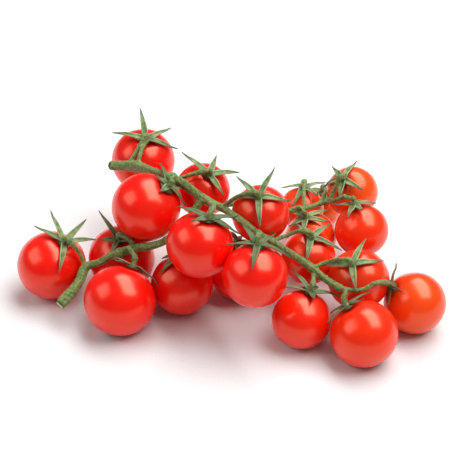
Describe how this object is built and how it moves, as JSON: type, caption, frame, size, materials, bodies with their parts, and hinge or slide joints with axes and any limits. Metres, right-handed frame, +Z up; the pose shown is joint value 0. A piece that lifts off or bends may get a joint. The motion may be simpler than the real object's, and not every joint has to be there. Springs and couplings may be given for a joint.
{
  "type": "truss of cherry tomatoes",
  "caption": "Cluster of round red cherry tomatoes lying on its side, each with a green star calyx, all carried by one forked green stem; decorative food item.",
  "frame": {"origin": "middle of the truss's footprint, on the surface that it lies on", "axes": "+X along the truss's length, +Y across it towards its back, +Z up from the surface"},
  "size_m": [0.1852, 0.1218, 0.0627],
  "materials": {
    "tomato_skin": null,
    "calyx": null,
    "stem": null
  },
  "bodies": {
    "root": {"stem": "stem", "tomato_01": "tomato_skin", "tomato_02": "tomato_skin", "tomato_03": "tomato_skin", "tomato_04": "tomato_skin", "tomato_05": "tomato_skin", "tomato_06": "tomato_skin", "tomato_07": "tomato_skin", "tomato_08": "tomato_skin", "tomato_09": "tomato_skin", "tomato_10": "tomato_skin", "tomato_11": "tomato_skin", "tomato_12": "tomato_skin", "tomato_13": "tomato_skin", "tomato_14": "tomato_skin", "tomato_15": "tomato_skin", "tomato_16": "tomato_skin", "tomato_17": "tomato_skin", "tomato_18": "tomato_skin", "tomato_19": "tomato_skin", "tomato_20": "tomato_skin", "tomato_21": "tomato_skin", "calyx_01": "calyx", "calyx_02": "calyx", "calyx_03": "calyx", "calyx_04": "calyx", "calyx_05": "calyx", "calyx_06": "calyx", "calyx_07": "calyx", "calyx_08": "calyx", "calyx_09": "calyx", "calyx_10": "calyx", "calyx_11": "calyx", "calyx_12": "calyx", "calyx_13": "calyx", "calyx_14": "calyx", "calyx_15": "calyx", "calyx_16": "calyx", "calyx_17": "calyx", "calyx_18": "calyx", "calyx_19": "calyx", "calyx_20": "calyx", "calyx_21": "calyx"}
  },
  "joints": []
}
